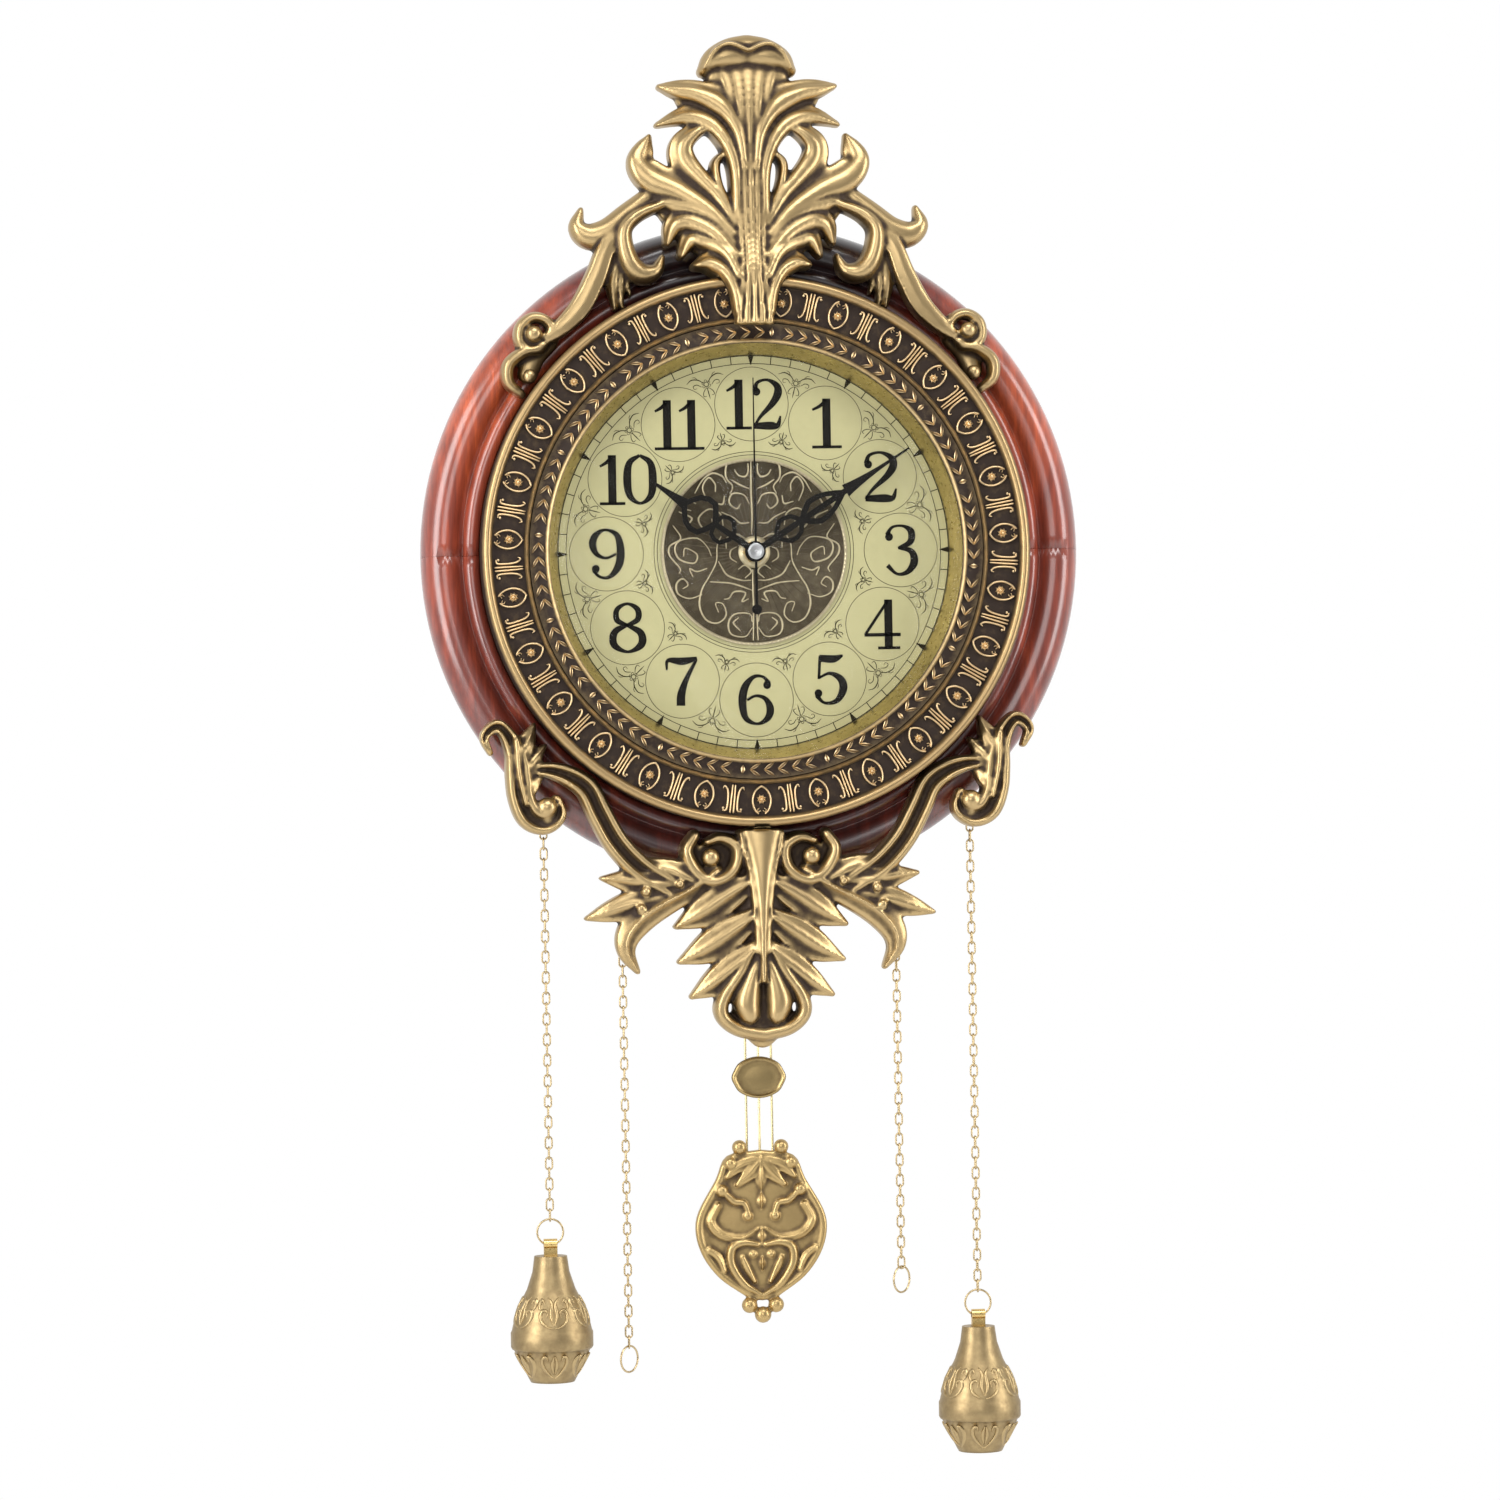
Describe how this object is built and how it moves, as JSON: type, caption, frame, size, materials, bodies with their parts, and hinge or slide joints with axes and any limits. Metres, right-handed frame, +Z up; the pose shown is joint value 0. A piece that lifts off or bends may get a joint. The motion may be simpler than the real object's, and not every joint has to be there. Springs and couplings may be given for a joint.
{
  "type": "wall clock",
  "caption": "Ornate wall clock with a lacquered wood ring, gilded scrollwork, a glazed dial, a swinging pendulum and hanging chains with pear-shaped weights.",
  "frame": {"origin": "centre of the keyhole's round opening in the hanger plate, in the wall plane", "axes": "+Z up, +X to the viewer's right, -Y the way the dial faces, so +Y points into the wall"},
  "size_m": [0.332, 0.056, 0.7108],
  "materials": {
    "lacquered_wood": "deep red-brown gloss lacquer",
    "plain_wood": "bare turned beech",
    "fibreboard": "smooth hardboard",
    "zinc_steel": "bright zinc plate",
    "antique_gold": "antique gold lacquer with dark brown patina over cast resin",
    "pendulum_gold": "antique brass with dark recesses",
    "chain_brass": "pale bright brass plate",
    "turned_brass": "plain turned brass",
    "dial_gold": "satin champagne gold with black print",
    "medallion": "dark embossed antique brass",
    "clear_glass": "clear float glass",
    "hand_black": "satin black paint",
    "case_plastic": "fine textured black",
    "gear_plastic": "natural acetal",
    "magnet": "dark sintered ferrite",
    "copper_coil": "enamelled copper wire",
    "circuit_green": "green solder mask",
    "washer_rubber": "matt black"
  },
  "bodies": {
    "frame": {"wood_ring_upper": "lacquered_wood", "wood_ring_lower": "lacquered_wood", "ring_dowels": "plain_wood", "back_board": "fibreboard", "board_screws": "zinc_steel", "hanger_plate": "zinc_steel", "bezel_ring": "antique_gold", "bezel_screws": "zinc_steel", "leaf_ring": "antique_gold", "glass_lens": "clear_glass", "rehaut_ring": "antique_gold", "dial_plate": "dial_gold", "dial_retaining_ring": "zinc_steel", "dial_medallion": "medallion", "crown_casting": "antique_gold", "lower_casting": "antique_gold", "ornament_screws": "zinc_steel", "chain_eyes": "chain_brass", "movement_rear_case": "case_plastic", "movement_front_case": "case_plastic", "train_plate": "gear_plastic", "threaded_bushing": "turned_brass", "dial_washer": "washer_rubber", "bushing_nut": "turned_brass", "stepper_coil": "copper_coil", "stator_plate": "zinc_steel", "circuit_board": "circuit_green", "battery_contacts": "zinc_steel", "pendulum_coil": "copper_coil", "pendulum_pivot_pin": "zinc_steel"},
    "minute_assembly": {"minute_hand": "hand_black", "minute_arbor": "gear_plastic"},
    "hour_assembly": {"hour_hand": "hand_black", "hour_wheel": "gear_plastic"},
    "second_assembly": {"second_hand": "hand_black", "second_wheel": "gear_plastic"},
    "rotor": {"rotor": "magnet"},
    "transfer_wheel": {"transfer_wheel": "gear_plastic"},
    "third_wheel": {"third_wheel": "gear_plastic"},
    "centre_wheel": {"centre_wheel": "gear_plastic"},
    "setting_assembly": {"setting_wheel": "gear_plastic", "setting_knob": "case_plastic"},
    "pendulum": {"pendulum_hanger": "gear_plastic", "pendulum_magnet": "magnet", "pendulum_hook_plate": "chain_brass", "pendulum_rods": "chain_brass", "pendulum_plaque": "pendulum_gold", "pendulum_bob": "pendulum_gold"},
    "chain_left_outer": {"chain_left_outer": "chain_brass", "split_ring_left": "chain_brass"},
    "chain_left_inner": {"chain_left_inner": "chain_brass", "pull_ring_left": "chain_brass"},
    "chain_right_inner": {"chain_right_inner": "chain_brass", "pull_ring_right": "chain_brass"},
    "chain_right_outer": {"chain_right_outer": "chain_brass", "split_ring_right": "chain_brass"},
    "weight_left": {"weight_left": "pendulum_gold", "weight_tab_left": "pendulum_gold"},
    "weight_right": {"weight_right": "pendulum_gold", "weight_tab_right": "pendulum_gold"}
  },
  "joints": [
    {"name": "minute_spin", "type": "hinge", "parent": "frame", "child": "minute_assembly", "pos_m": [0, -0.02, -0.1], "axis": [0, 1, 0], "continuous": true},
    {"name": "hour_spin", "type": "hinge", "parent": "frame", "child": "hour_assembly", "pos_m": [0, -0.02, -0.1], "axis": [0, 1, 0], "continuous": true},
    {"name": "setting_spin", "type": "hinge", "parent": "frame", "child": "setting_assembly", "pos_m": [0.00848, -0.02, -0.10848], "axis": [0, 1, 0], "continuous": true},
    {"name": "second_spin", "type": "hinge", "parent": "frame", "child": "second_assembly", "pos_m": [0, -0.02, -0.1], "axis": [0, 1, 0], "continuous": true},
    {"name": "rotor_spin", "type": "hinge", "parent": "frame", "child": "rotor", "pos_m": [0.01131, -0.02, -0.08869], "axis": [0, 1, 0], "continuous": true},
    {"name": "transfer_spin", "type": "hinge", "parent": "frame", "child": "transfer_wheel", "pos_m": [0.00636, -0.02, -0.09364], "axis": [0, 1, 0], "continuous": true},
    {"name": "third_spin", "type": "hinge", "parent": "frame", "child": "third_wheel", "pos_m": [-0.00883, -0.02, -0.0949], "axis": [0, 1, 0], "continuous": true},
    {"name": "centre_spin", "type": "hinge", "parent": "frame", "child": "centre_wheel", "pos_m": [0, -0.02, -0.1], "axis": [0, 1, 0], "continuous": true},
    {"name": "pendulum_swing", "type": "hinge", "parent": "frame", "child": "pendulum", "pos_m": [0, -0.005, -0.126], "axis": [0, 1, 0], "range_deg": [-4, 4]},
    {"name": "chain_left_outer_sway", "type": "hinge", "parent": "frame", "child": "chain_left_outer", "pos_m": [-0.1075, -0.021, -0.2369], "axis": [0, 1, 0], "range_deg": [-1.5, 6]},
    {"name": "chain_left_inner_sway", "type": "hinge", "parent": "frame", "child": "chain_left_inner", "pos_m": [-0.069, -0.021, -0.3014], "axis": [0, 1, 0], "range_deg": [-4, 1.5]},
    {"name": "chain_right_inner_sway", "type": "hinge", "parent": "frame", "child": "chain_right_inner", "pos_m": [0.069, -0.021, -0.3014], "axis": [0, 1, 0], "range_deg": [-4, 4]},
    {"name": "chain_right_outer_sway", "type": "hinge", "parent": "frame", "child": "chain_right_outer", "pos_m": [0.1075, -0.021, -0.2369], "axis": [0, 1, 0], "range_deg": [-6, 4]},
    {"name": "weight_left_tilt", "type": "hinge", "parent": "chain_left_outer", "child": "weight_left", "pos_m": [-0.1075, -0.021, -0.4439], "axis": [1, 0, 0], "range_deg": [-15, 0]},
    {"name": "weight_right_tilt", "type": "hinge", "parent": "chain_right_outer", "child": "weight_right", "pos_m": [0.1075, -0.021, -0.4851], "axis": [1, 0, 0], "range_deg": [-15, 0]}
  ],
  "couplings": [
    {"joint": "hour_spin", "follows": "minute_spin", "ratio": 0.083333},
    {"joint": "setting_spin", "follows": "minute_spin", "ratio": -0.33333},
    {"joint": "transfer_spin", "follows": "second_spin", "ratio": -5},
    {"joint": "rotor_spin", "follows": "second_spin", "ratio": 30},
    {"joint": "third_spin", "follows": "second_spin", "ratio": -0.13333},
    {"joint": "centre_spin", "follows": "second_spin", "ratio": 0.016667}
  ]
}
